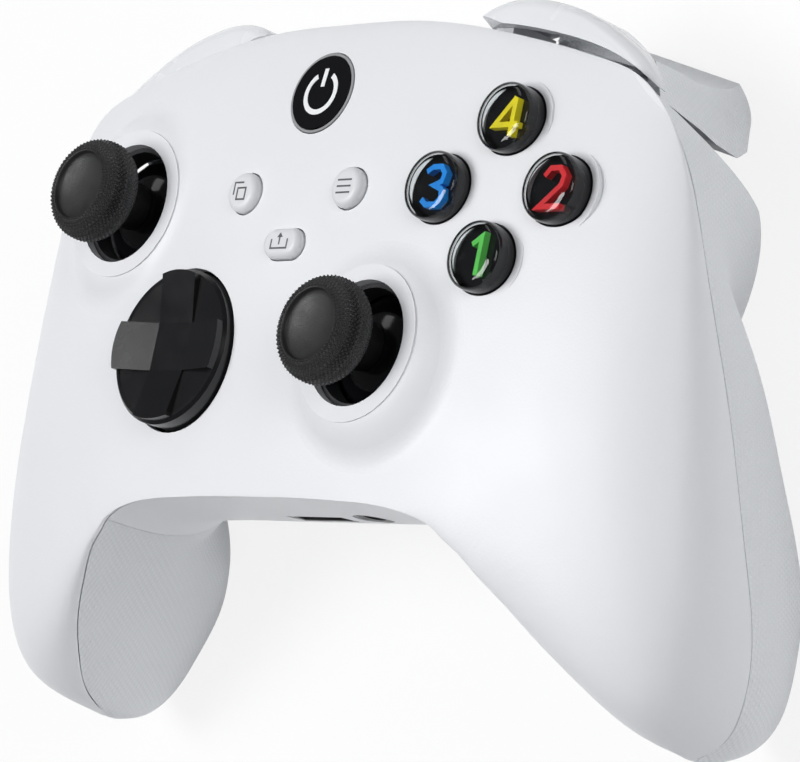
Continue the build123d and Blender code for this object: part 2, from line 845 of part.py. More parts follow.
def on_skirt(radius, tilt):
    """A point of a ball about the pivot, as radius and height, at an angle from upright."""
    return (radius * sin(radians(tilt)), radius * cos(radians(tilt)))


def at_radius(ball, radius):
    """A point of a ball about the pivot at a distance from the upright axis."""
    return (radius, sqrt(ball**2 - radius**2))


inner_skirt = skirt_radius - skirt_wall
dish_rise = dish_edge - dish_middle
dish_ball = (dish_edge_radius**2 + dish_rise**2) / (2 * dish_rise)
dish_between = (
    dish_edge_radius / 2,
    dish_middle + dish_ball - sqrt(dish_ball**2 - (dish_edge_radius / 2) ** 2),
)
for side, (x, y) in stick_spots.items():
    pivot = dome(x, y) - pivot_drop
    with BuildPart() as stick_housing:
        block(
            (x - housing_half, y - housing_half, main_board_top),
            (x + housing_half, y + housing_half, pivot + housing_top),
        )
        hollow_half = housing_half - housing_wall
        block(
            (x - hollow_half, y - hollow_half, main_board_top + housing_floor),
            (x + hollow_half, y + hollow_half, pivot + housing_half),
            Mode.SUBTRACT,
        )
        bar((x - housing_half, y, pivot), 2 * housing_half, trunnion_radius + pin_gap, Mode.SUBTRACT)
    with BuildPart() as stick_rocker:
        bar((x - rocker_half, y, pivot), 2 * rocker_half, rocker_radius)
        bar((x - trunnion_half, y, pivot), 2 * trunnion_half, trunnion_radius)
        block(
            (x - slot_length / 2, y - slot_width / 2, pivot - rocker_radius),
            (x + slot_length / 2, y + slot_width / 2, pivot + rocker_radius),
            Mode.SUBTRACT,
        )
        bar(
            (x, y - rocker_radius, pivot),
            2 * rocker_radius,
            cross_pin_radius + pin_gap,
            Mode.SUBTRACT,
            along=(0, 1, 0),
        )
    with BuildPart() as stick_shaft:
        post((x, y), pivot + shaft_low, pivot + shaft_high, shaft_radius)
        bar((x, y - cross_pin_half, pivot), 2 * cross_pin_half, cross_pin_radius, along=(0, 1, 0))
    with BuildPart() as stick_cap:
        bore = shaft_radius + pin_gap
        bore_end = shaft_high + click_travel + ring_gap
        with BuildSketch(upright(x, y, pivot)):
            with BuildLine():
                start = at_radius(inner_skirt, hub_radius)
                Polyline((0, bore_end), (bore, bore_end), (bore, hub_low), (hub_radius, hub_low), start)
                low_inner = on_skirt(inner_skirt, skirt_reach)
                ThreePointArc(start, on_skirt(inner_skirt, skirt_reach / 2), low_inner)
                low_outer = on_skirt(skirt_radius, skirt_reach)
                Line(low_inner, low_outer)
                neck = at_radius(skirt_radius, neck_radius)
                ThreePointArc(low_outer, on_skirt(skirt_radius, skirt_reach / 2), neck)
                Polyline([neck, (neck_radius, neck_top)] + cap_profile)
                Line(cap_profile[-1], (dish_edge_radius, dish_edge))
                ThreePointArc((dish_edge_radius, dish_edge), dish_between, (0, dish_middle))
                Line((0, dish_middle), (0, bore_end))
            make_face()
        revolve(axis=Axis((x, y, 0), (0, 0, 1)))
    with BuildPart() as stick_ring:
        ring_outer = opening_radius - ring_gap
        post((x, y), pivot + ring_low, pivot + ring_high, ring_outer)
        post((x, y), pivot, pivot + shaft_high, ring_outer - ring_wall, Mode.SUBTRACT)
    pieces[f"{side}_stick_housing"] = stick_housing
    pieces[f"{side}_stick_rocker"] = stick_rocker
    pieces[f"{side}_stick_shaft"] = stick_shaft
    pieces[f"{side}_stick_cap"] = stick_cap
    pieces[f"{side}_stick_ring"] = stick_ring

# Directional pad: a dished disc with a raised cross, tilting on a ball
dpad_face = dome(*dpad_spot)
dpad_pivot_drop = 2.0
dpad_rim = 2.2
dpad_facet = 1.5
dpad_centre = 1.8
dpad_arm_width = 7.6
dpad_arm_rise = 1.3
dpad_flange = 1.0
dpad_flange_top = -5.3
dpad_ball = 1.6
dpad_post_radius = 2.2
dpad_hollow = 5.0
dpad_half_gap = 0.3
dpad_round = 0.5
dpad_x, dpad_y = dpad_spot
dpad_pivot = dpad_face - dpad_pivot_drop
dpad_low = dpad_face + dpad_flange_top - flange_thickness
dpad_top = dpad_face + dpad_rim
dpad_crest = dpad_top + dpad_arm_rise



def dpad_square(height, side, turn):
    """A square about the middle of the pad, for a loft."""
    with BuildSketch(Plane.XY.offset(height)) as square:
        with Locations(dpad_spot):
            Rectangle(side, side, rotation=turn)
    return square.sketch


with BuildPart() as dpad_facets:
    wide = dpad_square(dpad_top, 2 * (dpad_radius - dpad_lip), 45)
    loft(sections=[wide, dpad_square(dpad_face + dpad_facet, dpad_arm_width * sqrt(2), 45)])
    post(dpad_spot, dpad_low, dpad_crest, dpad_radius - 2 * dpad_round, Mode.INTERSECT)
with BuildPart() as dpad_cross:
    with BuildSketch(Plane.XY.offset(dpad_face)):
        with Locations(dpad_spot):
            Rectangle(2 * dpad_radius, dpad_arm_width)
            Rectangle(dpad_arm_width, 2 * dpad_radius)
            Circle(dpad_radius - dpad_round, mode=Mode.INTERSECT)
    extrude(amount=dpad_crest - dpad_face)
    wide = dpad_square(dpad_crest, 2 * dpad_radius, 0)
    low_square = dpad_square(dpad_face + dpad_centre, dpad_arm_width, 0)
    loft(sections=[wide, low_square], mode=Mode.SUBTRACT)
with BuildPart() as dpad:
    post(dpad_spot, dpad_low, dpad_face + dpad_flange_top, dpad_radius + dpad_flange)
    post(dpad_spot, dpad_low, dpad_top, dpad_radius)
    chamfer(dpad.faces().sort_by(Axis.Z)[-1].edges(), length=dpad_round)
    add(dpad_facets.part, mode=Mode.SUBTRACT)
    add(dpad_cross.part)
    post(dpad_spot, dpad_low, dpad_pivot + dpad_half_gap / 2, dpad_hollow, Mode.SUBTRACT)
    with Locations((dpad_x, dpad_y, dpad_pivot)):
        Sphere(dpad_ball + pin_gap, mode=Mode.SUBTRACT)
pieces["dpad"] = dpad

with BuildPart() as dpad_rocker:
    with Locations((dpad_x, dpad_y, dpad_pivot)):
        Sphere(dpad_ball)
pieces["dpad_rocker"] = dpad_rocker

with BuildPart() as dpad_stand:
    post(dpad_spot, main_board_top, dpad_pivot - dpad_half_gap, dpad_post_radius)
    with Locations((dpad_x, dpad_y, dpad_pivot)):
        Sphere(dpad_ball + pin_gap, mode=Mode.SUBTRACT)
pieces["dpad_stand"] = dpad_stand

# Buttons: each has a flange under its collar and a stem down to a rubber dome
flange_gap = 0.3
flange_reach = 1.0
stem_radius = 2.5
pad_thickness = 0.8
pad_top = upper_board_top + pad_thickness
pad_dome_top = -11.9
pad_dome_radius = 2.9
stem_gap = 0.15
lens_low = 0.5
lens_edge = 1.6
lens_wall = 0.5
lens_bow_share = 0.8
number_height = 1.2
number_stroke = 0.85
number_size = 1.45
number_stroke_shares = {
    "south": [[(-0.9, 1.2), (0.3, 2.0), (0.3, -2.0)]],
    "east": [[
        (-1.3, 1.2), (-0.6, 2.0), (0.7, 2.0), (1.4, 1.2), (1.2, 0.2), (-1.4, -2.0), (1.5, -2.0),
    ]],
    "west": [[
        (-1.3, 1.5), (-0.5, 2.0), (0.7, 2.0), (1.3, 1.3), (1.1, 0.4), (0.1, 0.05), (1.2, -0.4),
        (1.4, -1.3), (0.7, -2.0), (-0.6, -2.0), (-1.4, -1.4),
    ]],
    "north": [[(0.9, 2.0), (0.9, -2.0)], [(0.9, 2.0), (-1.5, -0.8), (1.7, -0.8)]],
}


def button_foot(spot, radius):
    """The flange and stem under a button, on the current piece."""
    face = dome(*spot)
    flange_top = face - guide_depth - flange_gap
    post(spot, flange_top - flange_thickness, flange_top, radius + control_gap + flange_reach)
    stem_low = pad_dome_top + face_button_travel + stem_gap
    post(spot, stem_low, flange_top, stem_radius)


for name, spot in face_spots.items():
    x, y = spot
    face = dome(x, y)
    with BuildPart() as button_body:
        button_foot(spot, face_button_radius)
        post(spot, face - guide_depth - flange_gap, face + lens_low, face_button_radius)
    with BuildPart() as button_lens:
        rim = face_button_radius
        inner = rim - lens_wall
        roof = face_button_proud - lens_wall
        turned_edge = lens_edge - lens_wall / 2
        with BuildSketch(upright(x, y, face)):
            with BuildLine():
                Polyline((inner, turned_edge), (inner, lens_low), (rim, lens_low), (rim, lens_edge))
                Spline(
                    (rim, lens_edge), (0, face_button_proud), tangents=[(0, 1), (-1, 0)],
                    tangent_scalars=[1, 2],
                )
                Line((0, face_button_proud), (0, roof))
                Spline(
                    (0, roof), (inner, turned_edge), tangents=[(1, 0), (0, -1)],
                    tangent_scalars=[2, 1],
                )
            make_face()
        revolve(axis=Axis((x, y, 0), (0, 0, 1)))
    with BuildPart() as button_number:
        for stroke in number_stroke_shares[name]:
            with BuildSketch(Plane.XY.offset(face + lens_low)):
                with BuildLine():
                    Polyline([(x + a * number_size, y + b * number_size) for a, b in stroke])
                trace(line_width=number_stroke)
            extrude(amount=number_height)
    pieces[f"{name}_button_body"] = button_body
    pieces[f"{name}_button_lens"] = button_lens
    pieces[f"{name}_button_number"] = button_number

small_proud = 1.5
small_round = 1.1
for name, spot in small_spots.items():
    with BuildPart() as small_button:
        button_foot(spot, small_button_radius)
        post(spot, dome(*spot) - guide_depth - flange_gap, dome(*spot) + small_proud, small_button_radius)
        fillet(small_button.faces().sort_by(Axis.Z)[-1].edges(), radius=small_round)
    pieces[f"{name}_button"] = small_button

with BuildPart() as share_button:
    button_foot((0, share_y), share_width / 2)
    with BuildSketch(Plane.XY.offset(share_face - guide_depth - flange_gap)):
        with Locations((0, share_y)):
            SlotOverall(share_length, share_width)
    extrude(amount=guide_depth + flange_gap + small_proud)
    fillet(share_button.faces().sort_by(Axis.Z)[-1].edges(), radius=small_round)
pieces["share_button"] = share_button

guide_spot = (0, guide_y)
guide_gap = 0.15
guide_proud = 0.35
ring_proud = 0.15
guide_face = dome(*guide_spot)
guide_hole = guide_radius + guide_ring_width
with BuildPart() as guide_button:
    post(guide_spot, guide_face - guide_depth - flange_gap, depth, guide_radius)
    add(body_half(True, -guide_proud, 0, -depth, hollow_stations), mode=Mode.INTERSECT)
    button_foot(guide_spot, guide_hole)
pieces["guide_button"] = guide_button

with BuildPart() as guide_light_ring:
    post(guide_spot, guide_face - guide_depth, depth, guide_hole + guide_gap / 2)
    post(guide_spot, -depth, depth, guide_radius + guide_gap, Mode.SUBTRACT)
    add(body_half(True, -ring_proud, 0, -depth, hollow_stations), mode=Mode.INTERSECT)
pieces["guide_light_ring"] = guide_light_ring

# Pairing button in the top bridge
pairing_proud = 0.5
pairing_travel = 0.6
pairing_flange = 0.6
pairing_flange_y = 43.9
with BuildPart() as pairing_button:
    outward = (0, 1, 0)
    bar(
        (pairing_x, pairing_flange_y, pairing_z), top_wall_y + pairing_proud - pairing_flange_y,
        pairing_radius, along=outward,
    )
    bar(
        (pairing_x, pairing_flange_y - pairing_flange, pairing_z), pairing_flange,
        pairing_radius + pairing_flange, along=outward,
    )
pieces["pairing_button"] = pairing_button

# Circuit boards and the rubber pad on the upper one
upper_board_spans = [
    ((-17.0, 7.5), (54.0, 30.0)),
    ((-17.0, 29.0), (43.0, 34.5)),
    ((-17.0, 33.0), (17.0, 42.5)),
    ((33.5, 1.0), (48.0, 9.0)),
]
pad_spans = [((-15.5, 14.4), (15.5, 23.0)), ((-7.0, 7.9), (7.0, 15.0)), ((-2.0, 22.0), (2.0, 32.0))]
main_board_span = ((-52.0, -18.0), (52.0, 21.6))
cluster_pad_radius = 13.3
guide_pad_radius = 4.5
hole_gap = 0.3


def slabs(spans, low, high):
    """Boxes side by side on the current piece, between two heights."""
    for low_corner, high_corner in spans:
        block((*low_corner, low), (*high_corner, high))


with BuildPart() as upper_board:
    slabs(upper_board_spans, upper_board_bottom, upper_board_top)
    for spot in boss_spots:
        post(spot, -depth, depth, boss_bore + pin_gap, Mode.SUBTRACT)
pieces["upper_board"] = upper_board

pad_spots = list(face_spots.values()) + list(small_spots.values()) + [(0, share_y), guide_spot]
with BuildPart() as button_pad:
    slabs(pad_spans, upper_board_top, pad_top)
    post((outer_x, outer_y), upper_board_top, pad_top, cluster_pad_radius)
    post(guide_spot, upper_board_top, pad_top, guide_pad_radius)
    for spot in pad_spots:
        post(spot, pad_top, pad_dome_top, pad_dome_radius)
pieces["button_pad"] = button_pad

with BuildPart() as main_board:
    slabs([main_board_span], main_board_bottom, main_board_top)
    post(bay_screw_spot, -depth, depth, post_radius + hole_gap, Mode.SUBTRACT)
pieces["main_board"] = main_board

# Rumble motors in the handles, each with an eccentric weight on its shaft
motor_spot = (60.0, -28.0)
motor_radius = 7.5
motor_length = 13.0
motor_shaft_radius = 1.0
weight_radii = {"left": 8.2, "right": 6.6}
weight_hub = 2.2
weight_height = 5.0
weight_gap = 0.9
weight_shaft_in = 6.0
cradle_wall = 1.5
cradle_depth = 6.0
plate_bottom = frame_plate_top - frame_plate_thickness
motor_bottom = plate_bottom - motor_length
for side, sign in (("left", -1), ("right", 1)):
    spot = (sign * motor_spot[0], motor_spot[1])
    with BuildPart() as rumble_motor:
        post(spot, motor_bottom, plate_bottom, motor_radius)
        post(spot, motor_bottom, motor_bottom + weight_shaft_in + weight_gap,
             motor_shaft_radius + pin_gap, Mode.SUBTRACT)
    pieces[f"{side}_rumble_motor"] = rumble_motor
    with BuildPart() as rumble_weight:
        weight_top = motor_bottom - weight_gap
        post(spot, weight_top - weight_height, weight_top, weight_radii[side])
        block(
            (spot[0] - 2 * motor_radius, spot[1] - 2 * motor_radius, -depth),
            (spot[0] + 2 * motor_radius, spot[1], 0),
            Mode.SUBTRACT,
        )
        post(spot, weight_top - weight_height, weight_top, weight_hub)
        post(spot, weight_top - weight_height, motor_bottom + weight_shaft_in, motor_shaft_radius)
    pieces[f"{side}_rumble_weight"] = rumble_weight

# The middle frame: a wall at the back of each pocket with the trigger's ears, a shelf
# with the bumper posts, a plate on each side under the screw posts, motor cradles
plate_span = ((32.0, -24.0), (62.0, 34.0))
shelf_spans = [((-23.8, 22.0), (23.8, 42.4)), ((-33.2, 22.0), (33.2, 38.0))]
pocket_wall_top = -8.4
pocket_wall_low = -37.0
pocket_wall_inner = -21.0
pocket_wall_outer = 15.5
frame_gap = 0.3
arm_room_x = 30.5
ear_points = [(-9.5, -18.0), (-2.9, -18.0), (-2.9, -12.4), (-7.0, -12.4)]
pad_rest_radius = 2.0
pad_rest_spots = [(45.0, -12.0), (45.0, 14.0)]
inner_room = body_half(False, wall + frame_gap, 0, -pocket_wall_top, hollow_stations)
with BuildPart() as frame_side:
    add(
        shoulder_slab(
            part_line,
            part_line + frame_plate_thickness,
            pocket_wall_low,
            pocket_wall_top,
            pocket_wall_inner,
            pocket_wall_outer,
        )
    )
    block(
        (0, hinge_spot[1] - 2 * hinge_radius, shelf_top),
        (arm_room_x, reach, 0),
        Mode.SUBTRACT,
    )
    slabs([plate_span], plate_bottom, frame_plate_top)
    post(motor_spot, plate_bottom - cradle_depth, frame_plate_top, motor_radius + pin_gap + cradle_wall)
    add(
        shoulder_slab(-half_width, part_line, -depth, 0, -half_width, half_width),
        mode=Mode.SUBTRACT,
    )
    add(inner_room, mode=Mode.INTERSECT)
    for start in (-ear_end, ear_start):
        along_trigger(ear_points, start, start + ear_thickness)
    trigger_bar(trigger_pivot, -ear_end, ear_end, pin_radius + pin_gap, Mode.SUBTRACT)
    post(motor_spot, plate_bottom - cradle_depth, plate_bottom, motor_radius + pin_gap, Mode.SUBTRACT)
    for spot in pad_rest_spots:
        post(spot, frame_plate_top, main_board_bottom, pad_rest_radius)
    for x, y in post_spots:
        if x > 0:
            post((x, y), -depth, 0, post_bore + pin_gap, Mode.SUBTRACT)
with BuildPart() as mid_frame:
    add(frame_side.part)
    mirror(about=Plane.YZ)
    slabs(shelf_spans, shelf_low, shelf_top)
    for sign in (-1, 1):
        post((sign * hinge_spot[0], hinge_spot[1]), shelf_top, hinge_high, hinge_pin_radius)
pieces["mid_frame"] = mid_frame

# Battery cells, one each way round, and their contacts
cell_spots = [(bay_y - cell_pitch / 2, -1), (bay_y + cell_pitch / 2, 1)]
contact_thickness = 0.4
contact_width = 7.0
contact_rise = 4.5
contact_gap = 0.05
spring_end = 2.4
with BuildPart() as battery_cells:
    for y, sign in cell_spots:
        bar((-cell_length / 2, y, cell_z), cell_length, cell_radius)
        bar((sign * cell_length / 2, y, cell_z), cell_tip_length, cell_tip_radius, along=(sign, 0, 0))
    fillet(
        battery_cells.edges().filter_by(GeomType.CIRCLE).group_by(SortBy.RADIUS)[-1],
        radius=cell_tip_length / 2,
    )
pieces["battery_cells"] = battery_cells

wall_x = bay_length / 2 - contact_gap
with BuildPart() as battery_contacts:
    for y, sign in cell_spots:
        for end in (-1, 1):
            reach_in = cell_length / 2 + (cell_tip_length if end == sign else 0) + contact_gap
            plate = sorted((end * wall_x, end * (wall_x - contact_thickness)))
            block(
                (plate[0], y - contact_width / 2, cell_z - contact_rise),
                (plate[1], y + contact_width / 2, cell_z + contact_rise),
            )
            bar((end * reach_in, y, cell_z), wall_x - reach_in, spring_end, along=(end, 0, 0))
pieces["battery_contacts"] = battery_contacts

# Sockets
usb_wall = 0.35
usb_tongue = 0.7
usb_corner = 1.2
with BuildPart() as usb_port:
    with BuildSketch(upright(0, top_wall_y, usb_z)) as shell_outline:
        RectangleRounded(usb_width, usb_height, usb_corner)
    extrude(shell_outline.sketch, amount=usb_length)
    with BuildSketch(upright(0, top_wall_y, usb_z)) as mouth_outline:
        RectangleRounded(usb_width - 2 * usb_wall, usb_height - 2 * usb_wall, usb_corner - usb_wall)
        Rectangle(usb_width - usb_height, usb_tongue, mode=Mode.SUBTRACT)
    extrude(mouth_outline.sketch, amount=usb_length - usb_wall, mode=Mode.SUBTRACT)
pieces["usb_c_port"] = usb_port

with BuildPart() as headset_jack:
    jack_back = jack_mouth_y + jack_length
    block(
        (jack_x - jack_nose, jack_mouth_y + wall + seam_gap * 2, main_board_top),
        (jack_x + jack_nose, jack_back, jack_z + jack_nose),
    )
    bar((jack_x, jack_mouth_y, jack_z), wall * 2, jack_nose, along=(0, 1, 0))
    bar((jack_x, jack_mouth_y, jack_z), jack_length - port_wall, jack_bore, Mode.SUBTRACT, along=(0, 1, 0))
pieces["headset_jack"] = headset_jack

with BuildPart() as accessory_port:
    port_back = jack_mouth_y + port_length
    block((-port_width / 2, jack_mouth_y, port_low), (port_width / 2, port_back, port_high))
    block(
        (port_wall - port_width / 2, jack_mouth_y - overrun, port_low + port_wall),
        (port_width / 2 - port_wall, port_back - port_wall, port_high - port_wall),
        Mode.SUBTRACT,
    )
pieces["accessory_port"] = accessory_port

# Screws, each group one node
screw_head_radius = 1.7
screw_head_height = 1.0
screw_shank = 0.75
screw_length = 7.0
small_head_radius = 1.0
small_head_height = 0.6
small_shank = 0.5
small_length = 4.0
drive_radius = 0.7


def screw(spot, seat, head_radius, head_height, shank, length):
    """An upright screw on the current piece, its head below its seat."""
    post(spot, seat - head_height, seat, head_radius)
    post(spot, seat, seat + length, shank)
    with BuildSketch(Plane.XY.offset(seat - head_height)) as drive:
        with Locations(spot):
            RegularPolygon(head_radius * drive_radius, 6)
    extrude(drive.sketch, amount=head_height / 2, mode=Mode.SUBTRACT)


with BuildPart() as frame_screws:
    for spot, seat in [(spot, plate_bottom) for spot in post_spots] + [(bay_screw_spot, bay_top)]:
        screw(spot, seat, screw_head_radius, screw_head_height, screw_shank, screw_length)
pieces["frame_screws"] = frame_screws
with BuildPart() as board_screws:
    for spot in boss_spots:
        screw(
            spot, upper_board_bottom, small_head_radius, small_head_height, small_shank, small_length
        )
pieces["board_screws"] = board_screws

# The whole part turned and moved so that it rests on the floor, its origin at the
# middle of the bottom of its box
turned_parts = {name: piece.part.rotate(Axis.X, -floor_turn) for name, piece in pieces.items()}
boxes = [part.bounding_box() for part in turned_parts.values()]
low = [min(getattr(box.min, axis) for box in boxes) for axis in "XYZ"]
high = [max(getattr(box.max, axis) for box in boxes) for axis in "XYZ"]
shift = Vector(-(low[0] + high[0]) / 2, -(low[1] + high[1]) / 2, -low[2])
print("turn", -floor_turn, "shift", shift)
for name, part in turned_parts.items():
    placed = part.moved(Location(shift))
    placed.label = name
    export_step(placed, f"parts/{name}.step")
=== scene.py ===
"""The dressed gamepad: its finishes, knurled sticks and printed icons, with studio and camera."""

import json
import math

import bmesh
import bpy
from mathutils import Matrix, Vector
from mathutils.bvhtree import BVHTree


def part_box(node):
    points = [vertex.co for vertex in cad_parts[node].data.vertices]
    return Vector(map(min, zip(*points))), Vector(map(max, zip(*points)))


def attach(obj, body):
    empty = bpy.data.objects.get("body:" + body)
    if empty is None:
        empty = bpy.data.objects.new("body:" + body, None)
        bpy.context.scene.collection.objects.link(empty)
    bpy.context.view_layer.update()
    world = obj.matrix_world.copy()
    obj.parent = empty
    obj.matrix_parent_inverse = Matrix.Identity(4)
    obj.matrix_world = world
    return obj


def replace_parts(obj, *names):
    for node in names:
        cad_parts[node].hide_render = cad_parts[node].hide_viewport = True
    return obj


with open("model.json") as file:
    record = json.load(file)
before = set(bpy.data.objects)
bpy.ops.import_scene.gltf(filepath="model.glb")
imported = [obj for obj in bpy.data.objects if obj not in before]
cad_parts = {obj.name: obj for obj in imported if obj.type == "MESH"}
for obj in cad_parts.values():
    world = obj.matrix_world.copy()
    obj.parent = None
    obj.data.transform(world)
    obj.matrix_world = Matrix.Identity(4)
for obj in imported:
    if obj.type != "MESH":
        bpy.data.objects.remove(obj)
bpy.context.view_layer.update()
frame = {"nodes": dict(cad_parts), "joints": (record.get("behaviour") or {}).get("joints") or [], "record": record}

MM = 0.001
joints = {joint["name"]: joint for joint in frame["joints"]}
face_up = -Vector(joints["south_button_press"]["axis"])
face_side = Vector((1, 0, 0))
face_ahead = face_up.cross(face_side)


# Finishes


MIX_AMOUNT, MIX_FIRST, MIX_SECOND = 0, 6, 7
MIX_RESULT = 2
DRIFT_RANGE = (0.35, 0.65)
WEAR_RANGE = (0.3, 0.7)
WEAR_DETAIL = 3.0

finishes = {}


class Wire:
    """A shader socket in a sum: an operator on it adds the Math node for it."""

    def __init__(self, finish, socket):
        self.finish = finish
        self.socket = socket

    def maths(self, operation, *operands):
        return self.finish.node(
            "ShaderNodeMath", {"operation": operation}, dict(enumerate(operands))
        )

    def __add__(self, other):
        return self.maths("ADD", self, other)

    def __rsub__(self, other):
        return self.maths("SUBTRACT", other, self)

    def __mul__(self, other):
        return self.maths("MULTIPLY", self, other)

    def __truediv__(self, other):
        return self.maths("DIVIDE", self, other)

    def __pow__(self, other):
        return self.maths("POWER", self, other)

    def __abs__(self):
        return self.maths("ABSOLUTE", self)

    def at_most(self, limit):
        return self.maths("MINIMUM", self, limit)

    def cosine(self):
        return self.maths("COSINE", self)

    def between(self, low, high):
        """0 below low and 1 above high, with an even climb from one to the other."""
        values = {"Value": self, "From Min": low, "From Max": high}
        return self.finish.node("ShaderNodeMapRange", {}, values)


class Finish:
    """One material, kept in finishes: its Principled shader, and the nodes that vary it."""

    def __init__(self, name, colour, roughness, **constants):
        self.material = finishes[name] = bpy.data.materials.new(name)
        self.material.use_nodes = True
        self.nodes = self.material.node_tree.nodes
        self.links = self.material.node_tree.links
        self.shader = self.nodes["Principled BSDF"]
        self.output = self.nodes["Material Output"]
        self.surface = Wire(self, self.shader.outputs[0])
        self.colour = colour
        self.set(self.shader, "Base Color", (*colour, 1))
        self.set(self.shader, "Roughness", roughness)
        for socket, value in constants.items():
            self.set(self.shader, socket.replace("_", " "), value)
        self.place = self.node("ShaderNodeTexCoord", {}, {}, "Object")

    def set(self, node, place, value):
        """Links a wire to a socket of a node, or writes a plain value there."""
        socket = node.inputs[place]
        if isinstance(value, Wire):
            self.links.new(value.socket, socket)
        else:
            socket.default_value = value

    def node(self, kind, settings, values, output=0):
        """Adds a node with its settings and its inputs, and gives the output that is used."""
        made = self.nodes.new(kind)
        for setting, value in settings.items():
            setattr(made, setting, value)
        for place, value in values.items():
            self.set(made, place, value)
        return Wire(self, made.outputs[output])

    def noise(self, scale, detail=2.0):
        values = {"Vector": self.place, "Scale": scale, "Detail": detail}
        return self.node("ShaderNodeTexNoise", {}, values, "Fac")

    def parts(self, vector):
        """The three components of a vector."""
        parted = self.node("ShaderNodeSeparateXYZ", {}, {"Vector": vector})
        return [Wire(self, output) for output in parted.socket.node.outputs]

    def blended(self, amount, first, second):
        """A colour between two, by an amount from 0 to 1."""
        values = {MIX_AMOUNT: amount, MIX_FIRST: (*first, 1), MIX_SECOND: (*second, 1)}
        return self.node("ShaderNodeMix", {"data_type": "RGBA"}, values, MIX_RESULT)

    def mixed(self, amount, first, second):
        """A shader between two, by an amount from 0 to 1."""
        return self.node("ShaderNodeMixShader", {}, {0: amount, 1: first, 2: second})

    def drift(self, scale, depth):
        """The colour drifts a little darker in soft patches."""
        darker = [channel * (1 - depth) for channel in self.colour]
        patches = self.noise(scale).between(*DRIFT_RANGE)
        self.set(self.shader, "Base Color", self.blended(patches, self.colour, darker))

    def wear(self, scale, smooth, rough):
        """Roughness between two values in small patches, as handling leaves it."""
        patches = self.noise(scale, WEAR_DETAIL).between(*WEAR_RANGE)
        self.set(self.shader, "Roughness", patches * (rough - smooth) + smooth)

    def raised(self, height, distance):
        """Relief in the shading: a height from 0 to 1 of a distance in millimetres."""
        values = {"Height": height, "Distance": distance * MM, "Strength": 1.0}
        self.set(self.shader, "Normal", self.node("ShaderNodeBump", {}, values))

    def grain(self, scale, depth):
        """A fine even grain, with its depth in millimetres."""
        self.raised(self.noise(scale), depth)


def plain(name, colour, roughness, drift=None, wear=None, grain=None, **constants):
    """A finish of the common kind, with the drift, wear and grain that are given."""
    finish = Finish(name, colour, roughness, **constants)
    if drift:
        finish.drift(*drift)
    if wear:
        finish.wear(*wear)
    if grain:
        finish.grain(*grain)


DOT_PITCH = 0.85 * MM
DOT_HEIGHT = 0.06
DOT_ANGLES = (90, 210, 330)
DOT_RANGE = (0.2, 2.2)
DOT_SIDE_POWER = 6.0
# Painted shade and light on the grip: a darker white in the hollows between the dots, a lighter one on their tops
GRIP_HOLLOW_PAINTED_SHADE = (0.775, 0.79, 0.815)
GRIP_CROWN_PAINTED_LIGHT = (0.805, 0.82, 0.845)


def dots(across, along):
    """Round bumps in staggered rows, from three crossed waves."""
    turn = 4 * math.pi / (math.sqrt(3) * DOT_PITCH)
    waves = []
    for angle in DOT_ANGLES:
        step_across = turn * math.cos(math.radians(angle))
        step_along = turn * math.sin(math.radians(angle))
        waves.append((across * step_across + along * step_along).cosine())
    return (waves[0] + waves[1] + waves[2]).between(*DOT_RANGE)


def dotted(finish):
    """Dots laid on from three sides, each where the surface faces that way."""
    x, y, z = finish.parts(finish.place)
    normal = finish.node("ShaderNodeNewGeometry", {}, {}, "Normal")
    shares = [abs(part) ** DOT_SIDE_POWER for part in finish.parts(normal)]
    height = dots(y, z) * shares[0] + dots(x, z) * shares[1] + dots(x, y) * shares[2]
    return height / (shares[0] + shares[1] + shares[2])


def grip_white():
    """The shell's white with dots, and painted shade: the hollows between the dots are painted darker and the dot
    tops lighter.
    """
    finish = Finish("grip_white", (0.80, 0.815, 0.84), 0.5, Specular_IOR_Level=0.4)
    height = dotted(finish)
    # Painted shade: the colour follows the dot height, darker in the hollows and lighter on the tops
    finish.set(finish.shader, "Base Color", finish.blended(height, GRIP_HOLLOW_PAINTED_SHADE, GRIP_CROWN_PAINTED_LIGHT))
    finish.raised(height, DOT_HEIGHT)


LENS_TINT = (0.97, 0.98, 0.98)
LENS_POLISH = 0.04
LENS_IOR = 1.45
LENS_SLANT = (0.4, 0.52)


def clear_lens():
    """Clear where it is seen through, and black on its slanting edge, like the body under it."""
    finish = Finish("clear_lens", (0.004, 0.004, 0.005), 0.08, Specular_IOR_Level=0.35)
    inside = finish.node("ShaderNodeNewGeometry", {}, {}, "Backfacing")
    mirror = finish.node("ShaderNodeFresnel", {}, {"IOR": LENS_IOR}) * (1 - inside)
    clear = finish.node("ShaderNodeBsdfTransparent", {}, {"Color": (*LENS_TINT, 1)})
    shine = finish.node("ShaderNodeBsdfGlossy", {}, {"Roughness": LENS_POLISH})
    slant = finish.node("ShaderNodeLayerWeight", {}, {"Blend": 0.5}, "Facing") * (1 - inside)
    window = finish.mixed(mirror, clear, shine)
    mixed = finish.mixed(slant.between(*LENS_SLANT), window, finish.surface)
    finish.set(finish.output, "Surface", mixed)


TRACE_RANGE = (0.5, 0.56)
TRACE_SCALE, TRACE_DETAIL = 700, 6.0
TRACE_HEIGHT = 0.02
BOARD_GROUND = (0.010, 0.014, 0.012)
BOARD_TRACE = (0.022, 0.032, 0.026)


def board_black():
    """Black solder mask, a little lighter and higher over the copper traces."""
    finish = Finish("board_black", (0.012, 0.016, 0.014), 0.42)
    traces = finish.noise(TRACE_SCALE, TRACE_DETAIL).between(*TRACE_RANGE)
    colour = finish.blended(traces, BOARD_GROUND, BOARD_TRACE)
    finish.set(finish.shader, "Base Color", colour)
    finish.raised(traces, TRACE_HEIGHT)


